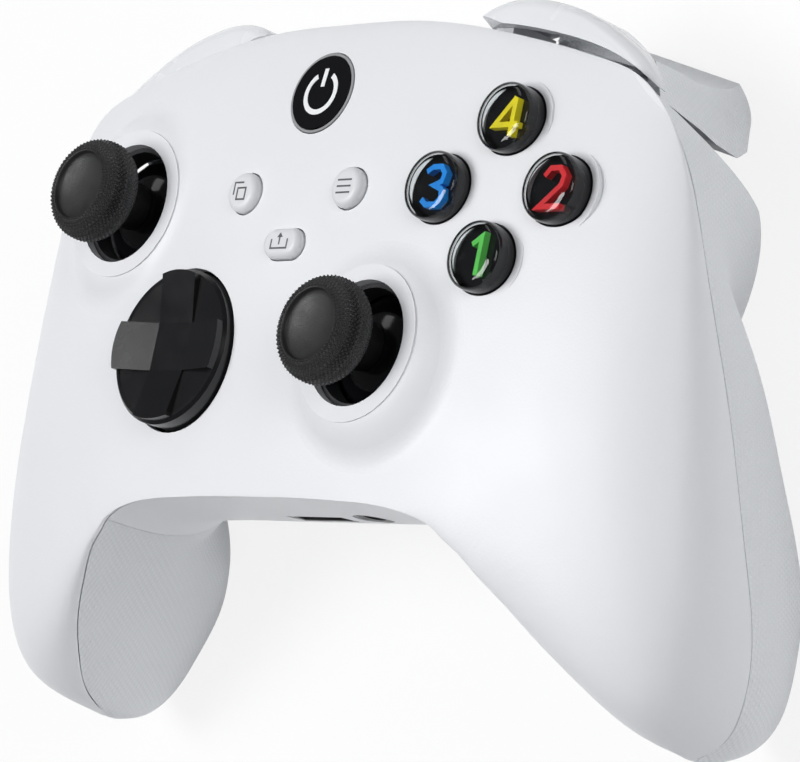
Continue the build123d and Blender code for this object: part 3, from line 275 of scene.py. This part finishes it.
MOULD_GRAIN = (2600, 0.02)
FINE_GRAIN = (2600, 0.006)
RUBBER_GRAIN = (5200, 0.03)
DISH_GRAIN = (5200, 0.02)
SHELL_WHITE = (0.82, 0.83, 0.855)
NUMBERS = {
    "number_green": (0.13, 0.68, 0.11),
    "number_red": (0.78, 0.022, 0.03),
    "number_blue": (0.01, 0.28, 0.87),
    "number_yellow": (0.95, 0.80, 0.008),
}


def make_finishes():
    """Every finish of the part: colour, roughness, and what varies them."""
    plain(
        "body_white",
        SHELL_WHITE,
        0.42,
        drift=(18, 0.015),
        wear=(60, 0.38, 0.47),
        grain=MOULD_GRAIN,
        Specular_IOR_Level=0.4,
    )
    grip_white()
    plain(
        "gloss_white",
        SHELL_WHITE,
        0.26,
        drift=(25, 0.012),
        wear=(80, 0.22, 0.3),
        Specular_IOR_Level=0.5,
    )
    plain(
        "stick_rubber",
        (0.017, 0.017, 0.018),
        0.5,
        drift=(260, 0.2),
        wear=(400, 0.44, 0.58),
        grain=RUBBER_GRAIN,
        Specular_IOR_Level=0.5,
    )
    plain(
        "dark_plastic",
        (0.022, 0.023, 0.026),
        0.38,
        wear=(300, 0.32, 0.46),
        grain=MOULD_GRAIN,
    )
    plain(
        "gloss_black",
        (0.004, 0.004, 0.005),
        0.12,
        wear=(120, 0.09, 0.16),
        Specular_IOR_Level=0.4,
    )
    clear_lens()
    for name, colour in NUMBERS.items():
        plain(name, colour, 0.35, drift=(500, 0.08), wear=(500, 0.3, 0.42))
    plain("button_grey", (0.74, 0.75, 0.77), 0.4, drift=(300, 0.02), grain=MOULD_GRAIN)
    plain("ring_grey", (0.32, 0.325, 0.335), 0.3, wear=(300, 0.26, 0.36))
    board_black()
    plain("pad_rubber", (0.42, 0.43, 0.44), 0.7, drift=(200, 0.1), grain=MOULD_GRAIN)
    plain("steel", (0.62, 0.62, 0.63), 0.32, wear=(900, 0.25, 0.42), Metallic=1.0)
    plain("cell_jacket", (0.05, 0.052, 0.056), 0.3, drift=(80, 0.2), Coat_Weight=0.3)
    plain("contact_metal", (0.78, 0.72, 0.55), 0.28, wear=(700, 0.22, 0.38), Metallic=1.0)
    plain("printed_grey", (0.10, 0.10, 0.11), 0.5, wear=(500, 0.45, 0.6))
    plain("printed_white", (0.88, 0.89, 0.9), 0.4, wear=(500, 0.36, 0.46))
    plain(
        "satin_black",
        (0.006, 0.006, 0.007),
        0.24,
        wear=(160, 0.2, 0.28),
        grain=FINE_GRAIN,
        Specular_IOR_Level=0.5,
    )
    plain(
        "dish_rubber",
        (0.013, 0.013, 0.014),
        0.6,
        drift=(260, 0.2),
        wear=(400, 0.55, 0.68),
        grain=DISH_GRAIN,
        Specular_IOR_Level=0.22,
    )


def paint(piece, material):
    piece.data.materials.clear()
    piece.data.materials.append(material)


def finish_nodes():
    """Every CAD node gets the finish of its slot, but the directional pad a satin black."""
    for part in frame["record"]["subparts"]:
        node = frame["nodes"][part["node"]]
        for slot in node.material_slots:
            slot.material = finishes[part["material_slot"]]
    for slot in frame["nodes"]["dpad"].material_slots:
        slot.material = finishes["satin_black"]


# Pieces


MERGE_DISTANCE = 1e-6


def added(name, data):
    """A new object of the given data, in the scene."""
    made = bpy.data.objects.new(name, data)
    bpy.context.scene.collection.objects.link(made)
    return made


def added_mesh(name, mesh):
    """A new object of a finished bmesh, which is freed."""
    data = bpy.data.meshes.new(name)
    mesh.to_mesh(data)
    mesh.free()
    return added(name, data)


def settled(name, mesh, place, body, slot, finish=None):
    """A finished bmesh becomes a piece: in place, facing out, painted, and riding on its body."""
    bmesh.ops.remove_doubles(mesh, verts=mesh.verts, dist=MERGE_DISTANCE)
    bmesh.ops.recalc_face_normals(mesh, faces=mesh.faces)
    mesh.transform(place)
    piece = added_mesh(name, mesh)
    paint(piece, finishes[finish or slot])
    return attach(piece, body)


def standing(spot):
    """The place of a piece that is modelled about its own upright axis: square to the face."""
    turned = Matrix((face_side, face_ahead, face_up)).transposed().to_4x4()
    return Matrix.Translation(spot) @ turned


def arc(radius, start, end, steps):
    """Points (radius, height) of a ball about the axis, from one angle from upright to another."""
    angles = [math.radians(start + (end - start) * step / steps) for step in range(steps + 1)]
    return [(radius * math.sin(angle), radius * math.cos(angle)) for angle in angles]


def spun(profile, steps):
    """A closed body turned from points (radius, height) in mm, both ends on the axis or joined."""
    mesh = bmesh.new()
    verts = [mesh.verts.new((radius * MM, 0, height * MM)) for radius, height in profile]
    edges = [mesh.edges.new(pair) for pair in zip(verts, verts[1:])]
    bmesh.ops.spin(
        mesh,
        geom=verts + edges,
        axis=(0, 0, 1),
        cent=(0, 0, 0),
        angle=2 * math.pi,
        steps=steps,
        use_merge=True,
    )
    return mesh


# The sticks, in millimetres about their pivot; SKIRT_REACH is an angle from upright

SKIRT_RADIUS = 11.5
SKIRT_INNER = 10.6
SKIRT_REACH = 70
SKIRT_OUTER_STEPS = 24
SKIRT_INNER_STEPS = 20
SKIRT_ROUND_STEPS = 96
HUB_RADIUS = 3.2
HUB_LOW = 5.6
BORE_RADIUS = 1.75
BORE_END = 14.7
NECK_RADIUS = 3.8
NECK_LOW = 10.9
NECK_POINTS = [(NECK_RADIUS, 15.2), (3.95, 15.6), (4.4, 15.85), (5.3, 16.0)]
KNURL_COUNT = 62
KNURL_DEPTH = 0.34
KNURL_RISE = 0.95
KNURL_FADE = 0.3
BAND_CENTRE = (6.2, 19.7)
BAND_THICKNESS = 2.6
BAND_START = 1.0
BAND_END = 8.9
BAND_INNER = 5.75
BAND_STEPS = 6
BAND_POINTS = [
    (6.2, 16.3),
    (7.4, 16.9),
    (8.1, 17.9),
    (8.3, 19.1),
    (8.2, 20.4),
    (7.75, 21.6),
    (7.0, 22.5),
    (6.1, 22.95),
]
RIM_POINTS = [
    (5.8, 22.97),
    (5.62, 22.93),
    (5.5, 22.8),
    (5.42, 22.55),
    (5.36, 22.25),
    (5.2, 22.08),
]
DISH_RADIUS = 5.45
DISH_LOW = 20.0
DISH_POINTS = [
    (4.6, 21.86),
    (4.0, 21.7),
    (3.2, 21.54),
    (2.4, 21.43),
    (1.6, 21.36),
    (0.8, 21.33),
    (0, 21.32),
]
CAP_STEPS = 4 * KNURL_COUNT


def stick_skirt(side, pivot):
    """The black dome under the stick, which closes the opening at every tilt."""
    neck_angle = math.degrees(math.asin(NECK_RADIUS / SKIRT_RADIUS))
    hub_angle = math.degrees(math.asin(HUB_RADIUS / SKIRT_INNER))
    outer = arc(SKIRT_RADIUS, neck_angle, SKIRT_REACH, SKIRT_OUTER_STEPS)
    inner = arc(SKIRT_INNER, SKIRT_REACH, hub_angle, SKIRT_INNER_STEPS)
    hub = [(HUB_RADIUS, HUB_LOW), (BORE_RADIUS, HUB_LOW), (BORE_RADIUS, outer[0][1])]
    mesh = spun(outer + inner + hub + [outer[0]], SKIRT_ROUND_STEPS)
    for face in mesh.faces:
        face.smooth = True
    settled(f"{side}_stick_skirt", mesh, standing(pivot), f"{side}_thumbstick", "gloss_black")


def triangle_wave(value):
    """0 at whole numbers and 1 half way between."""
    return 1 - abs(2 * (value - math.floor(value)) - 1)


def band_place(vert):
    """A point's radius, its way round the band's section from the foot, and its way outwards."""
    radius = math.hypot(vert.co.x, vert.co.y) / MM
    across, up = radius - BAND_CENTRE[0], vert.co.z / MM - BAND_CENTRE[1]
    along = (math.atan2(up, across) + math.pi / 2) * BAND_THICKNESS
    return radius, along, Vector((across, up)).normalized()


def on_band(radius, along):
    return radius >= BAND_INNER and BAND_START < along < BAND_END


def knurl(mesh):
    """Two crossed sets of slanting grooves leave rows of small diamonds all round the band."""
    for vert in mesh.verts:
        radius, along, outward = band_place(vert)
        if not on_band(radius, along):
            continue
        round_share = math.atan2(vert.co.y, vert.co.x) / (2 * math.pi) * KNURL_COUNT
        up_share = along / KNURL_RISE
        rising = triangle_wave(round_share + up_share)
        falling = triangle_wave(round_share - up_share)
        fade = min(1, (along - BAND_START) / KNURL_FADE, (BAND_END - along) / KNURL_FADE)
        inward = KNURL_DEPTH * fade * (1 - min(rising, falling)) * MM
        side = Vector((vert.co.x, vert.co.y, 0)).normalized()
        vert.co -= (side * outward.x + Vector((0, 0, outward.y))) * inward


def smoothed(points, steps):
    """More points through the given ones, on a smooth line."""
    made = []
    for k in range(len(points) - 1):
        before, start = points[max(k - 1, 0)], points[k]
        end, after = points[k + 1], points[min(k + 2, len(points) - 1)]
        corners = (before, start, end, after)
        for step in range(steps):
            t = step / steps
            weights = (
                (-t + 2 * t**2 - t**3) / 2,
                (2 - 5 * t**2 + 3 * t**3) / 2,
                (t + 4 * t**2 - 3 * t**3) / 2,
                (t**3 - t**2) / 2,
            )
            made.append(
                tuple(sum(w * c[axis] for w, c in zip(weights, corners)) for axis in (0, 1))
            )
    return made + [points[-1]]


def stick_grip(side, pivot):
    """The rubber cap: neck, knurled band and a dish that is let in below its rim."""
    bore = [(0, BORE_END), (BORE_RADIUS, BORE_END), (BORE_RADIUS, NECK_LOW)]
    neck = [(NECK_RADIUS, NECK_LOW)] + NECK_POINTS
    band = smoothed(BAND_POINTS, BAND_STEPS)
    mesh = spun(bore + neck + band + RIM_POINTS + DISH_POINTS, CAP_STEPS)
    for face in mesh.faces:
        radius, along, _ = band_place(face.verts[0])
        face.smooth = not on_band(radius, along)
        middle = face.calc_center_median() / MM
        in_dish = math.hypot(middle.x, middle.y) < DISH_RADIUS and middle.z > DISH_LOW
        face.material_index = int(in_dish)
    knurl(mesh)
    name, body = f"{side}_stick_grip", f"{side}_thumbstick"
    piece = settled(name, mesh, standing(pivot), body, "stick_rubber")
    piece.data.materials.append(finishes["dish_rubber"])
    return piece


def sticks():
    """Both sticks get a dome, and a knurled cap in place of the plain one."""
    for side in ("left", "right"):
        pivot = Vector(joints[f"{side}_stick_up_down"]["pos_m"])
        stick_skirt(side, pivot)
        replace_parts(stick_grip(side, pivot), f"{side}_stick_cap")


# The prints, in millimetres about the middle of their button; the gap's ends are angles

PRINT_HEIGHT = 0.03
PRINT_THICKNESS = 0.05
PRINT_DROP = 20
PRINT_CUTS = 2
PRINT_SLOT = "ring_grey"
LINE = 0.28
MENU_BARS = (-1.0, 0, 1.0)
POWER_RADIUS = 3.6
POWER_WIDTH = 0.85
POWER_GAP_END, POWER_GAP_START = 120, 420
POWER_STEPS = 40


def carrier_top(node):
    """A node's surface, to set prints on, and the middle of its box."""
    low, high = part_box(node)
    mesh = bmesh.new()
    mesh.from_mesh(frame["nodes"][node].data)
    surface = BVHTree.FromBMesh(mesh)
    mesh.free()
    return surface, (low + high) / 2


def printed(symbol, finish, shapes):
    """Thin raised print on a button: flat shapes about its middle, set down on its surface."""
    surface, middle = carrier_top(f"{symbol}_button")
    mesh = bmesh.new()
    for points in shapes:
        mesh.faces.new([mesh.verts.new((x * MM, y * MM, 0)) for x, y in points])
    bmesh.ops.subdivide_edges(mesh, edges=mesh.edges, cuts=PRINT_CUTS, use_grid_fill=True)
    bmesh.ops.triangulate(mesh, faces=mesh.faces)
    place = standing(middle)
    for vert in mesh.verts:
        start = place @ (vert.co + Vector((0, 0, PRINT_DROP * MM)))
        hit = surface.ray_cast(start, -face_up)[0]
        height = (place.inverted() @ hit).z if hit else 0
        vert.co.z = height + PRINT_HEIGHT * MM
    lifted = bmesh.ops.extrude_face_region(mesh, geom=mesh.faces[:])
    sunk = [part for part in lifted["geom"] if isinstance(part, bmesh.types.BMVert)]
    bmesh.ops.translate(mesh, vec=(0, 0, -PRINT_THICKNESS * MM), verts=sunk)
    settled(f"{symbol}_print", mesh, place, f"{symbol}_button", PRINT_SLOT, finish)


def bar(left, low, right, high):
    """A rectangle's corners."""
    return [(left, low), (right, low), (right, high), (left, high)]


def frame_bars(left, low, right, high, width):
    """The four mitred sides of a square outline."""
    outer = bar(left, low, right, high)
    inner = bar(left + width, low + width, right - width, high - width)
    return [[outer[i], outer[(i + 1) % 4], inner[(i + 1) % 4], inner[i]] for i in range(4)]


def ring_part(radius, width, start, end, steps):
    """A flat arc as a row of four-sided pieces."""
    inner = radius - width
    made = []
    for step in range(steps):
        corners = []
        for share, reach in ((step, radius), (step + 1, radius), (step + 1, inner), (step, inner)):
            angle = math.radians(start + (end - start) * share / steps)
            corners.append((reach * math.cos(angle), reach * math.sin(angle)))
        made.append(corners)
    return made


def icons():
    """Three bars, two crossing windows, a tray with an arrow, and a power symbol."""
    bars = [bar(-1.5, level - LINE / 2, 1.5, level + LINE / 2) for level in MENU_BARS]
    printed("menu", "printed_grey", bars)
    window = frame_bars(-0.8, -1.4, 1.3, 0.7, LINE)
    behind = [bar(-1.6, 1.3, 0.5, 1.3 + LINE), bar(-1.6, -0.5, -1.6 + LINE, 1.3)]
    printed("view", "printed_grey", window + behind)
    tray = [
        bar(-1.9, -1.1, 1.9, -1.1 + LINE),
        bar(-1.9, -1.1 + LINE, -1.9 + LINE, 0.5),
        bar(1.9 - LINE, -1.1 + LINE, 1.9, 0.5),
    ]
    arrow = [bar(-LINE / 2, -0.4, LINE / 2, 0.9), [(-0.6, 0.75), (0.6, 0.75), (0, 1.5)]]
    printed("share", "printed_grey", tray + arrow)
    ring = ring_part(POWER_RADIUS, POWER_WIDTH, POWER_GAP_END, POWER_GAP_START, POWER_STEPS)
    stroke = bar(-0.42, 1.0, 0.42, 4.0)
    printed("guide", "printed_white", ring + [stroke])


# Studio and camera, in metres, watts and degrees; the lens and its sensor in millimetres

FLOOR_REACH = 6
FLOOR_CELLS = 8
FLOOR_GLOW = 0.85
SKY_COLOUR = (0.93, 0.95, 1.0)
SKY_STRENGTH = 0.12
WHITE = (1, 1, 1, 1)
LAMP_TARGET = (0, 0, 0.03)
LAMPS = {
    "key": {"spot": (-0.42, 0.1, 1.32), "size": (0.62, 0.62), "power": 15.3},
    "side": {"spot": (1.15, 0.3, 0.65), "size": (0.6, 0.6), "power": 4.4},
    "fill": {"spot": (0.6, -1.0, 0.35), "size": (0.7, 0.5), "power": 1.3},
    "back": {"spot": (-0.45, 1.05, 0.68), "size": (0.3, 0.5), "power": 0.8},
}
CAMERA_SPOT = (0.505345, -0.048739, 0.495673)
CAMERA_ANGLES = (7.910, 46.148, 5.445)
CAMERA_LENS = 203.57
CAMERA_SENSOR = 36
CAMERA_CLIP = (0.05, 50)


def floor():
    """A plain floor that looks white from the camera and keeps the object's shadow."""
    mesh = bmesh.new()
    bmesh.ops.create_grid(mesh, x_segments=FLOOR_CELLS, y_segments=FLOOR_CELLS, size=FLOOR_REACH)
    piece = added_mesh("floor", mesh)
    finish = Finish("floor_pale", (0.88, 0.885, 0.89), 0.9, Specular_IOR_Level=0.1)
    path = finish.node("ShaderNodeLightPath", {}, {}, "Is Camera Ray")
    rays = path.socket.node.outputs
    seen = path + Wire(finish, rays["Is Glossy Ray"]) + Wire(finish, rays["Is Transmission Ray"])
    glow = finish.node("ShaderNodeEmission", {}, {"Color": WHITE, "Strength": 1.0})
    mixed = finish.mixed(seen.at_most(1.0) * FLOOR_GLOW, finish.surface, glow)
    finish.set(finish.output, "Surface", mixed)
    paint(piece, finish.material)


def surroundings():
    """Weak pale light from all round, which the camera sees as plain white."""
    world = bpy.data.worlds.new("studio")
    bpy.context.scene.world = world
    world.use_nodes = True
    nodes, links = world.node_tree.nodes, world.node_tree.links
    light = nodes["Background"]
    light.inputs["Color"].default_value = (*SKY_COLOUR, 1)
    light.inputs["Strength"].default_value = SKY_STRENGTH
    seen = nodes.new("ShaderNodeBackground")
    seen.inputs["Color"].default_value = WHITE
    path = nodes.new("ShaderNodeLightPath")
    mix = nodes.new("ShaderNodeMixShader")
    links.new(path.outputs["Is Camera Ray"], mix.inputs[0])
    links.new(light.outputs[0], mix.inputs[1])
    links.new(seen.outputs[0], mix.inputs[2])
    links.new(mix.outputs[0], nodes["World Output"].inputs["Surface"])


def lamps():
    """Soft rectangular lamps that face the object."""
    for name, lamp in LAMPS.items():
        light = bpy.data.lights.new(name, "AREA")
        light.shape = "RECTANGLE"
        light.size, light.size_y = lamp["size"]
        light.energy = lamp["power"]
        holder = added(name, light)
        holder.location = lamp["spot"]
        aim = Vector(LAMP_TARGET) - Vector(lamp["spot"])
        holder.rotation_euler = aim.to_track_quat("-Z", "Y").to_euler()


def camera():
    """The photograph's view: from over the right handle, with the front edge upwards."""
    lens = bpy.data.cameras.new("camera")
    lens.lens = CAMERA_LENS
    lens.sensor_width = CAMERA_SENSOR
    lens.clip_start, lens.clip_end = CAMERA_CLIP
    holder = added("camera", lens)
    holder.location = CAMERA_SPOT
    holder.rotation_euler = [math.radians(angle) for angle in CAMERA_ANGLES]
    bpy.context.scene.camera = holder


make_finishes()
camera()
floor()
surroundings()
lamps()
bpy.context.scene.view_settings.view_transform = "Standard"
finish_nodes()
sticks()
icons()
